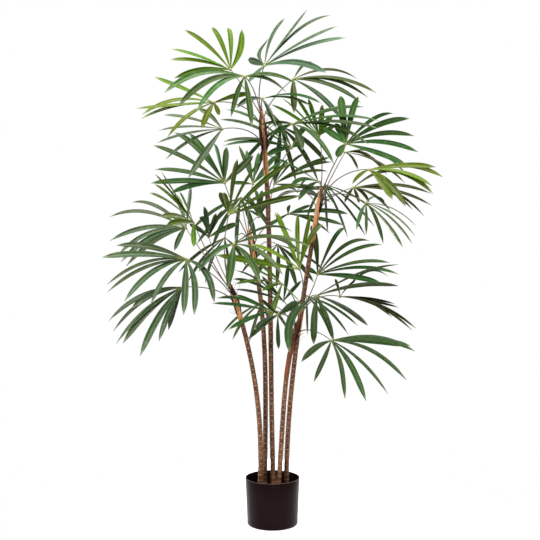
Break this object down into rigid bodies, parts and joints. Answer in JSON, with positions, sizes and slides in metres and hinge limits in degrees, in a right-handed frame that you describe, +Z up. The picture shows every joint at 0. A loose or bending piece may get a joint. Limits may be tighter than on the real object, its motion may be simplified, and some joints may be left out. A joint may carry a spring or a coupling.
{
  "type": "artificial lady palm",
  "caption": "Potted artificial lady palm: slim ringed canes rise from a plain round pot and carry fans of long narrow leaflets on thin stalks.",
  "frame": {"origin": "centre of the pot's flat underside, on the surface the plant stands on", "axes": "+Z up along the pot's axis, the pictured front towards -Y, the plant's right in the picture towards +X"},
  "size_m": [1.1364, 1.0028, 1.8076],
  "materials": {
    "pot": "satin near-black plastic",
    "ballast": "rough dark fill",
    "cane": "dull brown with pale rings",
    "frond_lime": "satin yellow-green",
    "frond_blue": "satin blue-green",
    "frond_mid": "satin mid green",
    "frond_olive": "satin olive green",
    "frond_grey": "satin grey-green",
    "frond_vivid": "satin bright green",
    "frond_dark": "satin dark green",
    "frond_brown": "dull brown-green underside"
  },
  "bodies": {
    "root": {"pot": "pot", "ballast": "ballast", "cane_left": "cane", "cane_midleft": "cane", "cane_tall": "cane", "cane_midright": "cane", "cane_right": "cane", "frond_01": "frond_lime", "frond_02": "frond_blue", "frond_03": "frond_mid", "frond_04": "frond_olive", "frond_05": "frond_lime", "frond_06": "frond_grey", "frond_07": "frond_dark", "frond_08": "frond_dark", "frond_09": "frond_dark", "frond_10": "frond_olive", "frond_11": "frond_lime", "frond_12": "frond_vivid", "frond_13": "frond_brown", "frond_14": "frond_lime", "frond_15": "frond_brown", "frond_16": "frond_mid", "frond_17": "frond_vivid", "frond_18": "frond_dark", "frond_19": "frond_dark", "frond_20": "frond_dark", "frond_21": "frond_dark", "frond_22": "frond_dark", "frond_23": "frond_mid", "frond_24": "frond_olive", "frond_25": "frond_lime", "frond_26": "frond_grey", "frond_27": "frond_dark", "frond_28": "frond_grey", "frond_29": "frond_grey", "frond_30": "frond_lime", "frond_31": "frond_dark", "frond_32": "frond_mid", "frond_33": "frond_brown", "frond_34": "frond_mid", "frond_35": "frond_dark", "frond_36": "frond_lime", "frond_37": "frond_dark", "frond_38": "frond_dark", "frond_39": "frond_dark", "frond_40": "frond_mid", "frond_41": "frond_mid", "frond_42": "frond_dark", "frond_43": "frond_dark", "frond_44": "frond_dark", "frond_45": "frond_mid"}
  },
  "joints": []
}
